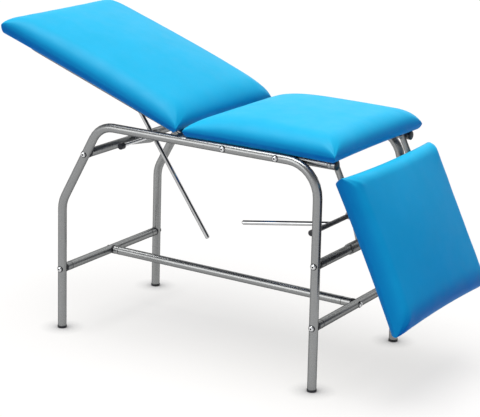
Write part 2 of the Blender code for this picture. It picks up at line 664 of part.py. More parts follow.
def make_prop():
    """The chrome rod, its clamp barrel, and the bracket on the upper head crossbar."""
    hub = pivot("prop_pivot", PROP_PIVOT, PROP_ANGLE)
    along_x = Matrix.Rotation(pi / 2, 4, "Y")
    profile = [
        (0.35 * PROP_ROD_R, -PROP_LENGTH - PROP_ROD_R),
        (0.80 * PROP_ROD_R, -PROP_LENGTH - 0.6 * PROP_ROD_R),
        (PROP_ROD_R, -PROP_LENGTH),
        (PROP_ROD_R, PROP_HANDLE_LENGTH - 0.5 * PROP_ROD_R),
        (0.6 * PROP_ROD_R, PROP_HANDLE_LENGTH),
    ]
    rod = add("prop_rod", turned(profile, along_x), CHROME, hub)
    pin_reach = PROP_ROD_R + TURN_FIT + GUIDE_WALL
    pin = bar_y(-PROP_LENGTH, 0, -pin_reach, pin_reach, PROP_PIN_R, 12)
    join(rod, helper("prop_pin", pin, hub))

    cheek_inner = BARREL_HALF_LENGTH + FIT
    cheek_outer = cheek_inner + CHEEK_THICKNESS
    profile = [
        (TRUNNION_R, -cheek_outer),
        (TRUNNION_R, -BARREL_HALF_LENGTH),
        (BARREL_R, -BARREL_HALF_LENGTH),
        (BARREL_R, BARREL_HALF_LENGTH),
        (TRUNNION_R, BARREL_HALF_LENGTH),
        (TRUNNION_R, cheek_outer),
    ]
    barrel = add("clamp_barrel", turned(profile, ALONG_Y), ZINC, hub)
    bore = [(PROP_ROD_R + FIT, -2 * BARREL_R), (PROP_ROD_R + FIT, 2 * BARREL_R)]
    cut(
        barrel,
        helper("barrel_bore", turned(bore, along_x), hub),
        helper("barrel_screw_hole", bar_y(0, 0, -2 * cheek_outer, 0, SPINDLE_R + FIT), hub),
    )

    knob_back = KNOB_FACE_Y + KNOB_LENGTH
    spindle_start = knob_back - KNOB_SOCKET + FIT
    spindle = bar_y(0, 0, spindle_start, -PROP_ROD_R - FIT, SPINDLE_R)
    add("clamp_spindle", spindle, ZINC, hub)
    bore = SPINDLE_R + FIT
    profile = [
        (0.80 * KNOB_R, KNOB_FACE_Y),
        (KNOB_R, KNOB_FACE_Y + 0.002),
        (KNOB_R, knob_back - 0.0015),
        (KNOB_R - 0.0015, knob_back),
        (bore, knob_back),
        (bore, knob_back - KNOB_SOCKET),
    ]
    add("clamp_knob", turned(profile, ALONG_Y), BLACK_PLASTIC, hub)

    bar_x = slope_x(HEAD_UPPER_BAR_Z)
    sleeve_r = HEAD_UPPER_BAR_R + FIT + SLEEVE_WALL
    sleeve = bar_y(bar_x, HEAD_UPPER_BAR_Z, -cheek_outer, cheek_outer, sleeve_r)
    bracket = add("clamp_bracket", sleeve, GREY_PAINT)
    eye_r = TRUNNION_R + TURN_FIT + CHEEK_RIM
    outline = strap((bar_x, HEAD_UPPER_BAR_Z), sleeve_r, (PROP_PIVOT_X, PROP_PIVOT_Z), eye_r)
    for label, side in SIDES:
        low, high = sorted((side * cheek_inner, side * cheek_outer))
        join(bracket, helper(f"clamp_cheek_{label}", plate(outline, low, high)))
    reach = 2 * cheek_outer
    cut(
        bracket,
        helper("clamp_bar_space", bar_y(bar_x, HEAD_UPPER_BAR_Z, -reach, reach, HEAD_UPPER_BAR_R + FIT)),
        helper("clamp_trunnion_space", bar_y(PROP_PIVOT_X, PROP_PIVOT_Z, -reach, reach, TRUNNION_R + TURN_FIT)),
    )


def make_leg_rest():
    """The leg rest lies along +X from its hinge before it is turned down."""
    hinge = pivot("leg_rest_hinge", LEG_HINGE, LEG_ANGLE)
    tube = u_frame(1, LEG_HINGE_OVERHANG, LEG_FRAME_END, LEG_TUBE_Y, LEG_TUBE_R, LEG_FRAME_BEND_R)
    frame = add("leg_rest_frame", tube, GREY_PAINT, hinge)
    for label, side in SIDES:
        hole = bolt_hole(
            f"leg_rest_bolt_hole_{label}", 0, 0, side * (LEG_TUBE_Y - 2 * LEG_TUBE_R), side * SEAT_TUBE_Y,
            BOLT_R + FIT, hinge,
        )
        cut(frame, hole)
    underside = LEG_TUBE_R + FIT
    pad("leg_rest", LEG_PAD_START, LEG_PAD_END, underside, LEG_CROWN, hinge)

    cross_tube = bar_y(LEG_CROSS_TUBE_U, 0, -LEG_TUBE_Y, LEG_TUBE_Y, LEG_CROSS_TUBE_R)
    lug_end = LINK_Y - LINK_THICKNESS / 2 - TURN_FIT
    lug_start = lug_end - LUG_THICKNESS
    outline = strap((LINK_PIVOT_U, LINK_PIVOT_N), LUG_EYE_R, (LEG_CROSS_TUBE_U, 0), 0.8 * LEG_CROSS_TUBE_R)
    join(
        frame,
        helper("leg_rest_cross_tube", cross_tube, hinge),
        helper("leg_rest_lug", plate(outline, lug_start, lug_end), hinge),
        *headed_pin("lug_pin", LINK_PIVOT_U, LINK_PIVOT_N, lug_start, hinge),
    )


def headed_pin(name, x, z, start, parent):
    """A pin along Y that carries the link, with its head on the far side of the link."""
    link_face = LINK_Y + LINK_THICKNESS / 2 + TURN_FIT
    shank = bar_y(x, z, start, link_face + PIN_HEAD_HEIGHT / 2, LINK_PIN_R, 12)
    head = bar_y(x, z, link_face, link_face + PIN_HEAD_HEIGHT, PIN_HEAD_R, 12)
    return helper(name, shank, parent), helper(name + "_head", head, parent)


def make_lever():
    """The lever shaft with its crank, the chrome handle, the push link and the saddle bracket."""
    centre = pivot("lever_pivot", SHAFT, LEG_ANGLE)
    shaft = add("lever_shaft", bar_y(0, 0, -SHAFT_HALF_LENGTH, SHAFT_HALF_LENGTH, SHAFT_R), DARK_PAINT, centre)
    crank_end = LINK_Y - LINK_THICKNESS / 2 - TURN_FIT
    crank_start = crank_end - LUG_THICKNESS
    outline = strap((0, 0), SHAFT_R + 0.005, (LINK_PIVOT_U, LINK_PIVOT_N), LUG_EYE_R)
    join(shaft, helper("lever_crank", plate(outline, crank_start, crank_end), centre))
    join(shaft, *headed_pin("crank_pin", LINK_PIVOT_U, LINK_PIVOT_N, crank_start, centre))
    for label, side in SIDES:
        cap_r = SHAFT_R + FIT + SHAFT_CAP_WALL
        bore = SHAFT_R + FIT
        floor = SHAFT_HALF_LENGTH + FIT
        profile = [
            (bore, floor),
            (bore, floor - SHAFT_CAP_DEPTH),
            (cap_r, floor - SHAFT_CAP_DEPTH),
            (cap_r, floor + 0.5 * SHAFT_CAP_END),
            (0.75 * cap_r, floor + SHAFT_CAP_END),
        ]
        turn = ALONG_Y if side > 0 else ALONG_Y.inverted()
        add(f"lever_shaft_cap_{label}", turned(profile, turn), BLACK_PLASTIC, centre)

    handle_turn = Matrix.Rotation(-LEVER_DROP - LEG_ANGLE, 4, "Y")
    along_x = Matrix.Rotation(-pi / 2, 4, "Y")
    profile = [
        (LEVER_R, 0.0),
        (LEVER_R, LEVER_LENGTH - 0.5 * LEVER_R),
        (0.6 * LEVER_R, LEVER_LENGTH),
    ]
    place = Matrix.Translation((0, LEVER_Y, 0)) @ handle_turn @ along_x
    handle = add("lever_handle", turned(profile, place), CHROME, centre)
    space = bar_y(0, 0, LEVER_Y - 2 * LEVER_R, LEVER_Y + 2 * LEVER_R, SHAFT_R + FIT)
    cut(handle, helper("handle_shaft_space", space, centre))

    crank = Matrix.Rotation(LEG_ANGLE, 3, "Y") @ Vector((LINK_PIVOT_U, 0, LINK_PIVOT_N))
    link_pivot = pivot("push_link_pivot", SHAFT + crank, 0.0)
    top = LEG_HINGE - SHAFT
    low, high = LINK_Y - LINK_THICKNESS / 2, LINK_Y + LINK_THICKNESS / 2
    outline = strap((0, 0), LINK_EYE_R, (top.x, top.z), LINK_EYE_R)
    link = add("push_link", plate(outline, low, high), ZINC, link_pivot)
    for i, (x, z) in enumerate(((0, 0), (top.x, top.z))):
        eye = bar_y(x, z, low - LINK_THICKNESS, high + LINK_THICKNESS, LINK_PIN_R + TURN_FIT, 12)
        cut(link, helper(f"push_link_eye_{i}", eye, link_pivot))

    bar_x = front_leg_x(FOOT_MIDDLE_BAR_Z)
    sleeve_r = TUBE_R + FIT + SLEEVE_WALL
    reach = FOOT_SLEEVE_HALF_LENGTH
    bracket = add("lever_bracket", bar_y(bar_x, FOOT_MIDDLE_BAR_Z, -reach, reach, sleeve_r), GREY_PAINT)
    bearing_r = SHAFT_R + TURN_FIT + BEARING_WALL
    outline = strap((bar_x, FOOT_MIDDLE_BAR_Z), 0.95 * sleeve_r, (SHAFT_X, SHAFT_Z), 0.95 * bearing_r)
    upright = plate(outline, UPRIGHT_Y - UPRIGHT_THICKNESS / 2, UPRIGHT_Y + UPRIGHT_THICKNESS / 2)
    bearing = bar_y(SHAFT_X, SHAFT_Z, BEARING_START_Y, BEARING_END_Y, bearing_r)
    join(bracket, helper("lever_upright", upright), helper("lever_bearing", bearing))
    cut(
        bracket,
        helper("lever_bar_space", bar_y(bar_x, FOOT_MIDDLE_BAR_Z, -2 * reach, 2 * reach, TUBE_R + FIT)),
        helper("lever_shaft_space", bar_y(SHAFT_X, SHAFT_Z, -2 * reach, 2 * reach, SHAFT_R + TURN_FIT)),
    )


clear_scene()
make_side_frames()
make_crossbars()
make_stretcher()
make_seat()
make_backrest()
make_prop()
make_leg_rest()
make_lever()
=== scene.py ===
import json
from math import atan2, cos, exp, hypot, pi, radians, sin

import bmesh
import bpy
from mathutils import Matrix, Vector


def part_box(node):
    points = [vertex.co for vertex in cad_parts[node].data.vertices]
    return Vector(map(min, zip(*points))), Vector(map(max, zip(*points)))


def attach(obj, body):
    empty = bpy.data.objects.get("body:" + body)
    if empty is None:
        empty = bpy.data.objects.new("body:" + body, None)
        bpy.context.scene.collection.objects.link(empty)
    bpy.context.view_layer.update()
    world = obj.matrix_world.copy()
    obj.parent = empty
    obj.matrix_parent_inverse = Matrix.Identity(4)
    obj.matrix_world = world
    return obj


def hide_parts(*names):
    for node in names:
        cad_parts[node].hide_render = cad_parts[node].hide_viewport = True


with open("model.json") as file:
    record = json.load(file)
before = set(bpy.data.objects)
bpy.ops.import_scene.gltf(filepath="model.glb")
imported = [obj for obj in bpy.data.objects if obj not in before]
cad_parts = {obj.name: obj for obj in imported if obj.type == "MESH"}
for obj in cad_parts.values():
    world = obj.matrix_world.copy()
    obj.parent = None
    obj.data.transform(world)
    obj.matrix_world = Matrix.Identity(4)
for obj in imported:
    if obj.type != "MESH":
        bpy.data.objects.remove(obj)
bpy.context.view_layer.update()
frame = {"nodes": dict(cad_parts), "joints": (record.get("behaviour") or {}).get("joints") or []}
nodes = frame["nodes"]
scene = bpy.context.scene


# Side frames, crossbars, stretcher, seat tubes and the frames behind the pads. The real ones are drawn steel
# tube, bent cold or cut to length, and sprayed silver-grey together with the two brackets. The paint has a
# fine metal flake and a faint unevenness in its gloss.
def new_group(name, kind, inputs, outputs):
    group = bpy.data.node_groups.new(name, kind)
    for label, socket_type in inputs.items():
        group.interface.new_socket(label, in_out="INPUT", socket_type=socket_type)
    for label, socket_type in outputs.items():
        group.interface.new_socket(label, in_out="OUTPUT", socket_type=socket_type)
    return group, group.nodes.new("NodeGroupInput"), group.nodes.new("NodeGroupOutput")


NOISE_DETAIL = 4.0
NOISE_LOW, NOISE_HIGH = 0.32, 0.68
mottle, mottle_in, mottle_out = new_group(
    "mottle",
    "ShaderNodeTree",
    {"Scale": "NodeSocketFloat", "Low": "NodeSocketFloat", "High": "NodeSocketFloat"},
    {"Amount": "NodeSocketFloat"},
)
mottle_place = mottle.nodes.new("ShaderNodeTexCoord")
mottle_noise = mottle.nodes.new("ShaderNodeTexNoise")
mottle_noise.inputs["Detail"].default_value = NOISE_DETAIL
mottle_range = mottle.nodes.new("ShaderNodeMapRange")
mottle_range.inputs["From Min"].default_value = NOISE_LOW
mottle_range.inputs["From Max"].default_value = NOISE_HIGH
mottle.links.new(mottle_place.outputs["Object"], mottle_noise.inputs["Vector"])
mottle.links.new(mottle_in.outputs["Scale"], mottle_noise.inputs["Scale"])
mottle.links.new(mottle_noise.outputs["Fac"], mottle_range.inputs["Value"])
mottle.links.new(mottle_in.outputs["Low"], mottle_range.inputs["To Min"])
mottle.links.new(mottle_in.outputs["High"], mottle_range.inputs["To Max"])
mottle.links.new(mottle_range.outputs["Result"], mottle_out.inputs["Amount"])


def mottled(tree, scale, low, high):
    node = tree.nodes.new("ShaderNodeGroup")
    node.node_tree = mottle
    node.inputs["Scale"].default_value = scale
    node.inputs["Low"].default_value = low
    node.inputs["High"].default_value = high
    return node.outputs["Amount"]


GRAIN_STRENGTH = 0.4


def surface_finish(
    name, tones, tone_scale, roughness, gloss_scale, metallic, grain_scale, grain_depth, shine=0.5, edge_shine=1.0
):
    """A surface whose colour, gloss and fine grain all vary a little. The scales are spots in a metre."""
    made = bpy.data.materials.new(name)
    made.use_nodes = True
    tree = made.node_tree
    shader = tree.nodes["Principled BSDF"]
    shader.inputs["Metallic"].default_value = metallic
    shader.inputs["Specular IOR Level"].default_value = shine
    shader.inputs["Specular Tint"].default_value = (edge_shine, edge_shine, edge_shine, 1.0)
    dark, light = tones
    tone = tree.nodes.new("ShaderNodeMix")
    tone.data_type = "RGBA"
    tone.inputs["A"].default_value = (*dark, 1.0)
    tone.inputs["B"].default_value = (*light, 1.0)
    tree.links.new(mottled(tree, tone_scale, 0.0, 1.0), tone.inputs["Factor"])
    tree.links.new(tone.outputs["Result"], shader.inputs["Base Color"])
    tree.links.new(mottled(tree, gloss_scale, *roughness), shader.inputs["Roughness"])
    bump = tree.nodes.new("ShaderNodeBump")
    bump.inputs["Strength"].default_value = GRAIN_STRENGTH
    bump.inputs["Distance"].default_value = grain_depth
    tree.links.new(mottled(tree, grain_scale, 0.0, 1.0), bump.inputs["Height"])
    tree.links.new(bump.outputs["Normal"], shader.inputs["Normal"])
    return made


WELD_DISTANCE = 0.00002
CRISP_EDGE = radians(35)
rounding, rounding_in, rounding_out = new_group(
    "rounding", "GeometryNodeTree", {"Geometry": "NodeSocketGeometry"}, {"Geometry": "NodeSocketGeometry"}
)
rounding_weld = rounding.nodes.new("GeometryNodeMergeByDistance")
rounding_weld.inputs["Distance"].default_value = WELD_DISTANCE
rounding_angle = rounding.nodes.new("GeometryNodeInputMeshEdgeAngle")
rounding_sharp = rounding.nodes.new("FunctionNodeCompare")
rounding_sharp.operation = "GREATER_THAN"
rounding_sharp.inputs["B"].default_value = CRISP_EDGE
rounding_normal = rounding.nodes.new("GeometryNodeSetMeshNormal")
rounding_normal.mode = "SHARPNESS"
rounding.links.new(rounding_in.outputs["Geometry"], rounding_weld.inputs["Geometry"])
rounding.links.new(rounding_weld.outputs["Geometry"], rounding_normal.inputs["Mesh"])
rounding.links.new(rounding_angle.outputs["Unsigned Angle"], rounding_sharp.inputs["A"])
rounding.links.new(rounding_sharp.outputs["Result"], rounding_normal.inputs["Edge Sharpness"])
rounding.links.new(rounding_normal.outputs["Mesh"], rounding_out.inputs["Geometry"])


def wear(material, *names):
    """Gives CAD solids their finish, and shades their drawn and turned faces as round."""
    for name in names:
        nodes[name].data.materials.clear()
        nodes[name].data.materials.append(material)
        nodes[name].modifiers.new("rounding", "NODES").node_group = rounding


silver_paint = surface_finish(
    "silver_paint",
    tones=((0.275, 0.28, 0.277), (0.315, 0.32, 0.316)),
    tone_scale=260.0,
    roughness=(0.25, 0.31),
    gloss_scale=30.0,
    metallic=0.92,
    grain_scale=900.0,
    grain_depth=0.000004,
    edge_shine=0.25,
)
wear(
    silver_paint,
    "side_frame_near",
    "side_frame_far",
    "head_lower_crossbar",
    "head_upper_crossbar",
    "foot_lower_crossbar",
    "foot_middle_crossbar",
    "stretcher",
    "seat_tube_near",
    "seat_tube_far",
    "backrest_frame",
    "leg_rest_frame",
    "clamp_bracket",
    "lever_bracket",
)


# Foot cups, saddles and tube caps. These are moulded in black plastic and pushed on by hand, with the
# slightly open grain of a spark-eroded mould.
black_plastic = surface_finish(
    "black_plastic",
    tones=((0.010, 0.010, 0.011), (0.018, 0.018, 0.019)),
    tone_scale=90.0,
    roughness=(0.42, 0.56),
    gloss_scale=45.0,
    metallic=0.0,
    grain_scale=1800.0,
    grain_depth=0.00006,
)
for name in nodes:
    if "foot_cup" in name or "saddle" in name or name.startswith("seat_tube_cap"):
        wear(black_plastic, name)


# Bolts. Zinc-plated button heads with a hexagon socket, each on a thin washer and a black ring, go through
# the legs into the ends of the crossbars, and through the low crossbars into the stretcher. Those through
# the rails and the seat tubes end in a domed nut. The inside of each socket is near-black painted shade.
zinc_plate = surface_finish(
    "zinc_plate",
    tones=((0.62, 0.63, 0.64), (0.74, 0.75, 0.76)),
    tone_scale=120.0,
    roughness=(0.20, 0.34),
    gloss_scale=60.0,
    metallic=1.0,
    grain_scale=1500.0,
    grain_depth=0.00003,
)
# Painted shade: near-black for the inside of each hexagon socket, where shade falls.
socket_painted_shade = surface_finish(
    "socket_painted_shade",
    tones=((0.006, 0.006, 0.006), (0.012, 0.012, 0.012)),
    tone_scale=300.0,
    roughness=(0.60, 0.75),
    gloss_scale=60.0,
    metallic=0.0,
    grain_scale=900.0,
    grain_depth=0.00003,
)
TURNED_SIDES = 24
SHANK_R = 0.004
SHANK_CHAMFER = 0.0006
# Radius, and height above the face that the head lies on.
BOLT_RING = ((SHANK_R, -0.0045), (0.0112, -0.0045), (0.0115, -0.0008), (0.0106, 0.0002), (SHANK_R, 0.0002))
BOLT_WASHER = ((SHANK_R, 0.0003), (0.0084, 0.0003), (0.0087, 0.0006), (0.0087, 0.0013), (0.0083, 0.0017))
BOLT_HEAD = ((0.0075, 0.0017), (0.0075, 0.0026), (0.0070, 0.0040), (0.0060, 0.0048), (0.0044, 0.0052))
BOLT_SOCKET = ((0.0036, 0.0053), (0.0034, 0.0050), (0.0034, 0.0024))
# Radius, and height beyond the end of the grip.
DOMED_NUT = ((0.0020, 0.0078), (0.0052, 0.0066), (0.0068, 0.0040), (0.0071, 0.0004), (SHANK_R, 0.0003))


def circles(profile, sides=TURNED_SIDES):
    return [([radius] * sides, height) for radius, height in profile]


def hexagon(corner_radius):
    radii = []
    for i in range(TURNED_SIDES):
        angle = (2 * pi * i / TURNED_SIDES) % (pi / 3) - pi / 6
        radii.append(corner_radius * cos(pi / 6) / cos(angle))
    return radii


def nut_circles(grip):
    return circles([(radius, -grip - beyond) for radius, beyond in DOMED_NUT])


def turned(bm, face, out, outline):
    """Loops of points round the axis out: each list of radii in outline, at its height above face."""
    side = out.orthogonal().normalized()
    up = out.cross(side)
    loops = []
    for radii, height in outline:
        points = []
        for i, radius in enumerate(radii):
            angle = 2 * pi * i / len(radii)
            points.append(bm.verts.new(face + out * height + radius * (cos(angle) * side + sin(angle) * up)))
        loops.append(points)
    return loops


def band(bm, first, second):
    for i in range(len(first)):
        bm.faces.new((first[i], first[i - 1], second[i - 1], second[i]))


def skin(bm, loops, ring=False):
    """Joins loops of points in order, then closes both ends, or joins the last to the first for a ring."""
    for first, second in zip(loops, loops[1:]):
        band(bm, first, second)
    if ring:
        band(bm, loops[-1], loops[0])
    else:
        bm.faces.new(loops[0])
        bm.faces.new(loops[-1])
    bmesh.ops.recalc_face_normals(bm, faces=bm.faces)


def piece(name, bm, material, body, sharp=40):
    """Turns the points into a piece that rides on body. Edges over sharp degrees stay crisp."""
    mesh = bpy.data.meshes.new(name)
    bm.to_mesh(mesh)
    bm.free()
    mesh.materials.append(material)
    mesh.shade_smooth()
    mesh.set_sharp_from_angle(angle=radians(sharp))
    made = bpy.data.objects.new(name, mesh)
    scene.collection.objects.link(made)
    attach(made, body)
    return made


def bolt(name, face, out, grip, body, nut=False):
    """A button-head bolt whose washer lies on face, with its shank going back along out."""
    face, out = Vector(face), Vector(out)
    saddle = bmesh.new()
    skin(saddle, turned(saddle, face, out, circles(BOLT_RING)))
    piece(f"{name}_saddle", saddle, black_plastic, body)
    outline = []
    if nut:
        outline += nut_circles(grip)
    elif grip:
        outline += circles([(SHANK_R - SHANK_CHAMFER, -grip), (SHANK_R, -grip + SHANK_CHAMFER)])
    outline += circles(BOLT_WASHER + BOLT_HEAD)
    outline += [(hexagon(corner_radius), height) for corner_radius, height in BOLT_SOCKET]
    bm = bmesh.new()
    loops = turned(bm, face, out, outline)
    skin(bm, loops)
    # The socket's inner faces take the painted shade.
    recess = {*loops[-2], *loops[-1]}
    for patch in bm.faces:
        patch.material_index = int(recess.issuperset(patch.verts))
    made = piece(f"{name}_head", bm, zinc_plate, body)
    made.data.materials.append(socket_painted_shade)
    return made


def middle(name):
    low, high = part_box(name)
    return (Vector(low) + Vector(high)) / 2


SIDES = (("near", -1), ("far", 1))
LEG_FACE_Y = 0.300
CROSSBAR_GRIP = 0.053
RAIL_GRIP = 0.0606
TUBE_R = 0.015
for bar in ("head_lower", "head_upper", "foot_lower", "foot_middle"):
    for label, side in SIDES:
        name = f"{bar}_bolt_{label}"
        place = middle(name)
        made = bolt(name, (place.x, side * LEG_FACE_Y, place.z), (0, side, 0), CROSSBAR_GRIP, "frame")
        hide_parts(name)
for label, side in SIDES:
    for i in (1, 2):
        name = f"rail_bolt_{label}_{i}"
        place = middle(name)
        made = bolt(name, (place.x, side * LEG_FACE_Y, place.z), (0, side, 0), RAIL_GRIP, "frame", nut=True)
        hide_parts(name)
for label, way in (("head", -1), ("foot", 1)):
    place = middle(f"{label}_lower_crossbar")
    bolt(f"{label}_stretcher_bolt", (place.x + way * TUBE_R, 0, place.z), (way, 0, 0), 0, "frame")


# Hinges. The backrest turns on two plated pins in the head ends of the seat tubes. The leg rest turns on two
# low domed rivets through the foot ends, painted over with the frame and closed inside with a dome.
HINGE_FACE_Y = 0.2697
HINGE_GRIP = 0.0515
RIVET_HEAD = (
    (SHANK_R, 0.0003),
    (0.0074, 0.0003),
    (0.0074, 0.0010),
    (0.0066, 0.0019),
    (0.0046, 0.0026),
    (0.0016, 0.0029),
)
wear(zinc_plate, "back_hinge_pin_near", "back_hinge_pin_far")
for label, side in SIDES:
    name = f"leg_hinge_bolt_{label}"
    place = middle(name)
    face, out = Vector((place.x, side * HINGE_FACE_Y, place.z)), Vector((0, side, 0))
    bm = bmesh.new()
    skin(bm, turned(bm, face, out, nut_circles(HINGE_GRIP) + circles(RIVET_HEAD)))
    made = piece(f"leg_hinge_rivet_{label}", bm, silver_paint, "frame")
    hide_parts(name)


# Tube end rings. A narrow black ring near each end of the stretcher and of the two low crossbars and
# the middle one is painted shade for the groove where the plastic insert of the joint starts.
RING_SIDES = 32
RING_WIDTH = 0.0016
# Height above the tube, and place across the ring's width.
RING_PROFILE = ((0.00005, -0.5), (0.0004, -0.35), (0.0004, 0.35), (0.00005, 0.5))
CROSSBAR_RING_Y = 0.242
HEAD_RING_INSET = 0.020
FOOT_RING_INSET = 0.034


# Painted shade: a slightly raised black band takes the place of the shade in the groove.
def groove_shade_ring(name, centre, along):
    profile = [(TUBE_R + height, across * RING_WIDTH) for height, across in RING_PROFILE]
    bm = bmesh.new()
    skin(bm, turned(bm, Vector(centre), Vector(along), circles(profile, RING_SIDES)), ring=True)
    piece(name, bm, black_plastic, "frame")


for bar in ("head_lower", "foot_lower", "foot_middle"):
    place = middle(f"{bar}_crossbar")
    for label, side in SIDES:
        groove_shade_ring(f"{bar}_ring_{label}", (place.x, side * CROSSBAR_RING_Y, place.z), (0, 1, 0))
stretcher_low, stretcher_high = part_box("stretcher")
for label, x in (("head", stretcher_low.x + HEAD_RING_INSET), ("foot", stretcher_high.x - FOOT_RING_INSET)):
    groove_shade_ring(f"stretcher_groove_shade_{label}", (x, 0, middle("stretcher").z), (1, 0, 0))


# Pads. Each is a painted board with a block of foam, under smooth sky-blue vinyl that is sewn round the
# edge, pointed at the corners where it is folded, and drawn under the board.
board_paint = surface_finish(
    "board_paint",
    tones=((0.038, 0.039, 0.041), (0.052, 0.053, 0.056)),
    tone_scale=14.0,
    roughness=(0.55, 0.70),
    gloss_scale=40.0,
    metallic=0.0,
    grain_scale=700.0,
    grain_depth=0.00015,
)
wear(board_paint, "seat_board", "backrest_board", "leg_rest_board")
blue_vinyl = surface_finish(
    "blue_vinyl",
    tones=((0.006, 0.500, 0.735), (0.010, 0.520, 0.765)),
    tone_scale=9.0,
    roughness=(0.50, 0.58),
    gloss_scale=22.0,
    metallic=0.0,
    grain_scale=1300.0,
    grain_depth=0.00010,
    shine=0.20,
)
PAD_HALF_WIDTH = 0.300
PAD_SEAM_HEIGHT = 0.022
PAD_EDGE_HEIGHT = 0.073
PAD_PULL = 0.007
PAD_UNDERCUT = 0.012
PAD_ROUNDNESS = 2.3
PAD_HINGE_REACH = 0.16
PAD_FINE_WIDTH = 0.095
# Share of the undercut, and share of the seam's height.
PAD_UNDERSIDE = ((-0.03, 0.92), (0.02, 0.80), (0.12, 0.62), (0.30, 0.40), (0.55, 0.20), (0.80, 0.06), (1.0, 0.0))
BOARD_INSET = 0.0237
BOARD_TOP = 0.0123
FAN_CREASES, FAN_DEPTH, FAN_START, FAN_REACH = 10, 0.0016, 0.012, 0.045
RIPPLE_RATE, RIPPLE_DEPTH, RIPPLE_START, RIPPLE_REACH, RIPPLE_LENGTH = 62.0, 0.0011, 0.006, 0.030, 0.25
TUCK_DEPTH, TUCK_WIDTH, TUCK_REACH = 0.0016, 0.0030, 0.026


def shoulder(distance, width):
    """How far the cover has risen at a distance from the edge, from 0 at the seam to 1."""
    left = 1 - min(distance / width, 1.0)
    return (1 - left**PAD_ROUNDNESS) ** (1 / PAD_ROUNDNESS)


def stations(half, low_width, high_width, fine=28, plain=22):
    """Places from -half to half, close together where the edges round over."""
    low = [-half + low_width * (i / fine) ** 2 for i in range(fine + 1)]
    high = [half - high_width * (i / fine) ** 2 for i in range(fine, -1, -1)]
    step = (high[0] - low[-1]) / plain
    return low + [low[-1] + step * i for i in range(1, plain)] + high


def folds(to_end, to_side):
    """Small creases of the cover: they fan out from each corner, with one tuck, and fade along the seam."""
    away = hypot(to_end, to_side)
    edge, along = min(to_end, to_side), max(to_end, to_side)
    fan = sin(FAN_CREASES * atan2(to_side, to_end)) * exp(-away / FAN_REACH) * min(away / FAN_START, 1.0)
    ripple = sin(along * RIPPLE_RATE) * exp(-edge / RIPPLE_REACH) * (1 - exp(-edge / RIPPLE_START))
    ripple *= exp(-along / RIPPLE_LENGTH)
    tuck = exp(-(((to_end - to_side) / TUCK_WIDTH) ** 2)) * exp(-((away / TUCK_REACH) ** 2))
    return FAN_DEPTH * fan + RIPPLE_DEPTH * ripple - TUCK_DEPTH * tuck


def vinyl_pad(name, node, body, place, *, span, underside, crown, end_rounds, side_rounds, low_seam=PAD_SEAM_HEIGHT):
    """A sewn pad that lies on underside before place turns it with its section of the table.

    The rounds are how far the cover rounds over: at the start and the end, and along the sides and where
    they come to the end. The seam goes from low_seam at the start to its usual height at the end."""
    start_x, end_x = span
    start_round, end_round = end_rounds
    side_round, hinge_round = side_rounds
    half_x, half_y = (end_x - start_x) / 2, PAD_HALF_WIDTH
    bm = bmesh.new()
    across = stations(half_y, PAD_FINE_WIDTH, PAD_FINE_WIDTH)
    rows = []
    for x in stations(half_x, start_round, end_round):
        width = side_round + (hinge_round - side_round) * exp(-(((half_x - x) / PAD_HINGE_REACH) ** 2))
        ends = shoulder(half_x + x, start_round) * shoulder(half_x - x, end_round)
        seam_z = low_seam + (PAD_SEAM_HEIGHT - low_seam) * (half_x + x) / (2 * half_x)
        row = []
        for y in across:
            rise = ends * shoulder(half_y - abs(y), width)
            dome = (1 - (x / half_x) ** 2) * (1 - (y / half_y) ** 2)
            z = seam_z + (PAD_EDGE_HEIGHT - seam_z) * rise + crown * dome
            z += folds(half_x - abs(x), half_y - abs(y))
            drawn_x = 1 - PAD_PULL / half_x * (1 - (y / half_y) ** 2)
            drawn_y = 1 - PAD_PULL / half_y * (1 - (x / half_x) ** 2)
            row.append(bm.verts.new((x * drawn_x, y * drawn_y, z)))
        rows.append(row)
    for first, second in zip(rows, rows[1:]):
        for i in range(len(across) - 1):
            bm.faces.new((first[i], first[i + 1], second[i + 1], second[i]))
    seam = rows[0] + [row[-1] for row in rows[1:-1]] + rows[-1][::-1] + [row[0] for row in rows[-2:0:-1]]
    loops = [seam]
    for share, height in PAD_UNDERSIDE:
        inset = share * PAD_UNDERCUT
        narrow = Vector((1 - inset / half_x, 1 - inset / half_y, height))
        loops.append([bm.verts.new(v.co * narrow) for v in seam])
    for z in (0.0, BOARD_TOP):
        pocket = []
        for v in seam:
            x = max(-1.0, min(1.0, v.co.x / (half_x - PAD_PULL))) * (half_x - BOARD_INSET)
            y = max(-1.0, min(1.0, v.co.y / (half_y - PAD_PULL))) * (half_y - BOARD_INSET)
            pocket.append(bm.verts.new((x, y, z)))
        loops.append(pocket)
    for first, second in zip(loops, loops[1:]):
        band(bm, first, second)
    bm.faces.new(loops[-1])
    bmesh.ops.recalc_face_normals(bm, faces=bm.faces)
    shift = Matrix.Translation(((start_x + end_x) / 2, 0, underside))
    bmesh.ops.transform(bm, matrix=place @ shift, verts=bm.verts)
    made = piece(name, bm, blue_vinyl, body, sharp=50)
    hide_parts(node)


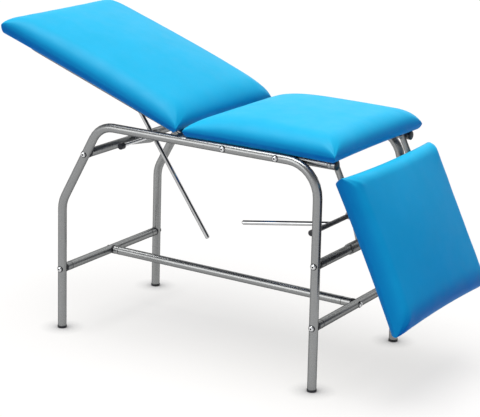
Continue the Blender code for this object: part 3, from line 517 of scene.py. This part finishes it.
BACKREST_ANGLE = radians(19.0)
LEG_REST_ANGLE = radians(63.6)
hinges = {joint["name"]: Vector(joint["pos_m"]) for joint in frame["joints"]}
seat_low, seat_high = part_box("seat_cushion")
vinyl_pad(
    "seat_pad",
    "seat_cushion",
    "frame",
    Matrix.Identity(4),
    span=(seat_low.x, seat_high.x),
    underside=seat_low.z,
    crown=0.016,
    end_rounds=(0.220, 0.075),
    side_rounds=(0.095, 0.095),
)
vinyl_pad(
    "backrest_pad",
    "backrest_cushion",
    "backrest",
    Matrix.Translation(hinges["backrest_tilt"]) @ Matrix.Rotation(BACKREST_ANGLE, 4, "Y"),
    span=(-0.772, -0.0125),
    underside=0.0153,
    crown=0.032,
    end_rounds=(0.095, 0.095),
    side_rounds=(0.064, 0.095),
    low_seam=0.032,
)
vinyl_pad(
    "leg_rest_pad",
    "leg_rest_cushion",
    "leg_rest",
    Matrix.Translation(hinges["leg_rest_tilt"]) @ Matrix.Rotation(LEG_REST_ANGLE, 4, "Y"),
    span=(0.050, 0.562),
    underside=0.0103,
    crown=0.016,
    end_rounds=(0.042, 0.082),
    side_rounds=(0.042, 0.042),
    low_seam=0.036,
)


# Backrest prop. A polished chrome rod runs through a barrel that swivels between two cheeks of a bracket,
# and a black knob on a plated spindle tightens the barrel onto it.
chrome = surface_finish(
    "chrome",
    tones=((0.46, 0.465, 0.47), (0.52, 0.525, 0.53)),
    tone_scale=60.0,
    roughness=(0.05, 0.10),
    gloss_scale=35.0,
    metallic=1.0,
    grain_scale=900.0,
    grain_depth=0.000003,
    edge_shine=0.15,
)
wear(chrome, "prop_rod")
wear(zinc_plate, "clamp_barrel", "clamp_spindle")
wear(black_plastic, "clamp_knob")


# Leg rest lever. The cross shaft is painted dark grey and has a black cap on each end. Its handle is a
# chrome rod, and a plated link joins the shaft's crank to the leg rest.
dark_paint = surface_finish(
    "dark_paint",
    tones=((0.050, 0.052, 0.056), (0.070, 0.072, 0.078)),
    tone_scale=200.0,
    roughness=(0.38, 0.48),
    gloss_scale=30.0,
    metallic=0.4,
    grain_scale=1400.0,
    grain_depth=0.00004,
)
wear(dark_paint, "lever_shaft")
wear(black_plastic, "lever_shaft_cap_near", "lever_shaft_cap_far")
wear(chrome, "lever_handle")
wear(zinc_plate, "push_link")


# Studio floor. A plain white floor that reaches past the picture, with a soft shadow, and painted shade close
# round the feet, where occlusion darkens its white glow. The table itself gets only a dim cool light back from it.
FLOOR_REACH = 60.0
FLOOR_WHITE_SHARE = 0.73
PAINTED_SHADE_REACH = 0.07
PAINTED_SHADE_DEPTH = 2.2
floor_mesh = bpy.data.meshes.new("floor")
floor_corners = [(x * FLOOR_REACH, y * FLOOR_REACH, 0) for x, y in ((-1, -1), (1, -1), (1, 1), (-1, 1))]
floor_mesh.from_pydata(floor_corners, [], [(0, 1, 2, 3)])
floor = bpy.data.objects.new("floor", floor_mesh)
scene.collection.objects.link(floor)
floor_paint = bpy.data.materials.new("floor_paint")
floor_paint.use_nodes = True
floor_mesh.materials.append(floor_paint)
floor_tree = floor_paint.node_tree
floor_lit = floor_tree.nodes["Principled BSDF"]
floor_lit.inputs["Base Color"].default_value = (0.955, 0.93, 0.885, 1.0)
floor_lit.inputs["Roughness"].default_value = 0.9
floor_lit.inputs["Specular IOR Level"].default_value = 0.0
floor_dim = floor_tree.nodes.new("ShaderNodeBsdfDiffuse")
floor_dim.inputs["Color"].default_value = (0.03, 0.118, 0.375, 1.0)
# Painted shade: the floor's white glow is darkened close round the feet, where the legs hide the room.
floor_shade_occlusion = floor_tree.nodes.new("ShaderNodeAmbientOcclusion")
floor_shade_occlusion.inputs["Distance"].default_value = PAINTED_SHADE_REACH
floor_shade_occlusion.inputs["Color"].default_value = (1.0, 0.993, 0.974, 1.0)
floor_shade_occlusion.samples = 8
floor_painted_shade = floor_tree.nodes.new("ShaderNodeGamma")
floor_painted_shade.inputs["Gamma"].default_value = PAINTED_SHADE_DEPTH
floor_white = floor_tree.nodes.new("ShaderNodeEmission")
floor_white.inputs["Strength"].default_value = 1.0
floor_shade = floor_tree.nodes.new("ShaderNodeMixShader")
floor_shade.inputs["Fac"].default_value = FLOOR_WHITE_SHARE
floor_seen = floor_tree.nodes.new("ShaderNodeMixShader")
floor_path = floor_tree.nodes.new("ShaderNodeLightPath")
floor_first = floor_tree.nodes.new("ShaderNodeMath")
floor_first.operation = "MAXIMUM"
floor_any = floor_tree.nodes.new("ShaderNodeMath")
floor_any.operation = "MAXIMUM"
link = floor_tree.links.new
link(floor_path.outputs["Is Camera Ray"], floor_first.inputs[0])
link(floor_path.outputs["Is Glossy Ray"], floor_first.inputs[1])
link(floor_first.outputs["Value"], floor_any.inputs[0])
link(floor_path.outputs["Is Transmission Ray"], floor_any.inputs[1])
link(floor_shade_occlusion.outputs["Color"], floor_painted_shade.inputs["Color"])
link(floor_painted_shade.outputs["Color"], floor_white.inputs["Color"])
link(floor_lit.outputs["BSDF"], floor_shade.inputs[1])
link(floor_white.outputs["Emission"], floor_shade.inputs[2])
link(floor_any.outputs["Value"], floor_seen.inputs["Fac"])
link(floor_dim.outputs["BSDF"], floor_seen.inputs[1])
link(floor_shade.outputs["Shader"], floor_seen.inputs[2])
link(floor_seen.outputs["Shader"], floor_tree.nodes["Material Output"].inputs["Surface"])


# Studio room and lamp. The room is white round the horizon and dimmer overhead, with two windows and a dark
# flag that the tubes reflect, and gives matt surfaces only a dim cool light. One very broad lamp stands
# overhead, a little to the head end and the near side.
HORIZON_TOP, CEILING_BOTTOM = 0.24, 0.52
HORIZON_LIGHT, CEILING_LIGHT = 1.0, 0.20
room = bpy.data.worlds.new("room")
scene.world = room
room.use_nodes = True
room_tree = room.node_tree
link = room_tree.links.new
room_place = room_tree.nodes.new("ShaderNodeTexCoord")
room_split = room_tree.nodes.new("ShaderNodeSeparateXYZ")
room_height = room_tree.nodes.new("ShaderNodeMapRange")
room_height.inputs["From Min"].default_value = HORIZON_TOP
room_height.inputs["From Max"].default_value = CEILING_BOTTOM
room_height.inputs["To Min"].default_value = HORIZON_LIGHT
room_height.inputs["To Max"].default_value = CEILING_LIGHT
room_sum = room_height.outputs["Result"]
for direction, edge, core, amount in (
    ((-0.42, -0.85, 0.32), 0.93, 0.98, 2.6),  # near window
    ((-0.04, 0.84, 0.54), 0.77, 0.93, 1.15),  # far window
    ((0.66, 0.74, 0.12), 0.78, 0.96, -0.7),  # dark flag
):
    room_window = room_tree.nodes.new("ShaderNodeVectorMath")
    room_window.operation = "DOT_PRODUCT"
    room_window.inputs[1].default_value = direction
    room_glow = room_tree.nodes.new("ShaderNodeMapRange")
    room_glow.inputs["From Min"].default_value = edge
    room_glow.inputs["From Max"].default_value = core
    room_glow.inputs["To Max"].default_value = amount
    room_add = room_tree.nodes.new("ShaderNodeMath")
    link(room_place.outputs["Generated"], room_window.inputs[0])
    link(room_window.outputs["Value"], room_glow.inputs["Value"])
    link(room_sum, room_add.inputs[0])
    link(room_glow.outputs["Result"], room_add.inputs[1])
    room_sum = room_add.outputs["Value"]
room_path = room_tree.nodes.new("ShaderNodeLightPath")
room_white = room_tree.nodes.new("ShaderNodeMath")
room_white.operation = "MAXIMUM"
room_seen = room_tree.nodes.new("ShaderNodeMix")
room_seen.data_type = "RGBA"
room_seen.inputs["B"].default_value = (0.012, 0.055, 0.228, 1.0)
link(room_place.outputs["Generated"], room_split.inputs["Vector"])
link(room_split.outputs["Z"], room_height.inputs["Value"])
link(room_path.outputs["Is Diffuse Ray"], room_seen.inputs["Factor"])
link(room_sum, room_white.inputs[0])
link(room_path.outputs["Is Camera Ray"], room_white.inputs[1])
link(room_white.outputs["Value"], room_seen.inputs["A"])
link(room_seen.outputs["Result"], room_tree.nodes["Background"].inputs["Color"])

light_travels = Vector((0.16, 0.10, -1.0))
lamp_data = bpy.data.lights.new("broad_lamp", "SUN")
lamp_data.energy = 3.52
lamp_data.angle = radians(50)
lamp = bpy.data.objects.new("broad_lamp", lamp_data)
lamp.rotation_euler = light_travels.to_track_quat("-Z", "Y").to_euler()
scene.collection.objects.link(lamp)

scene.view_settings.view_transform = "Standard"


# Camera. It stands where the photograph was taken from, at the foot end on the near side and above the pads,
# with a long lens and the photograph's slight lean.
stand = (2.880, -4.721, 2.038)
yaw, pitch, roll = radians(-31.37), radians(15.95), radians(1.84)
camera_data = bpy.data.cameras.new("camera")
camera_data.sensor_fit = "HORIZONTAL"
camera_data.sensor_width = 36.0
camera_data.lens = 127.6
camera_data.clip_end = 200.0
camera = bpy.data.objects.new("camera", camera_data)
ahead = Vector((sin(yaw) * cos(pitch), cos(yaw) * cos(pitch), -sin(pitch)))
right = ahead.cross(Vector((0, 0, 1))).normalized()
above = right.cross(ahead)
leaning_right = cos(roll) * right + sin(roll) * above
leaning_above = -sin(roll) * right + cos(roll) * above
turn = Matrix((leaning_right, leaning_above, -ahead)).transposed()
camera.matrix_world = Matrix.Translation(stand) @ turn.to_4x4()
scene.collection.objects.link(camera)
scene.camera = camera
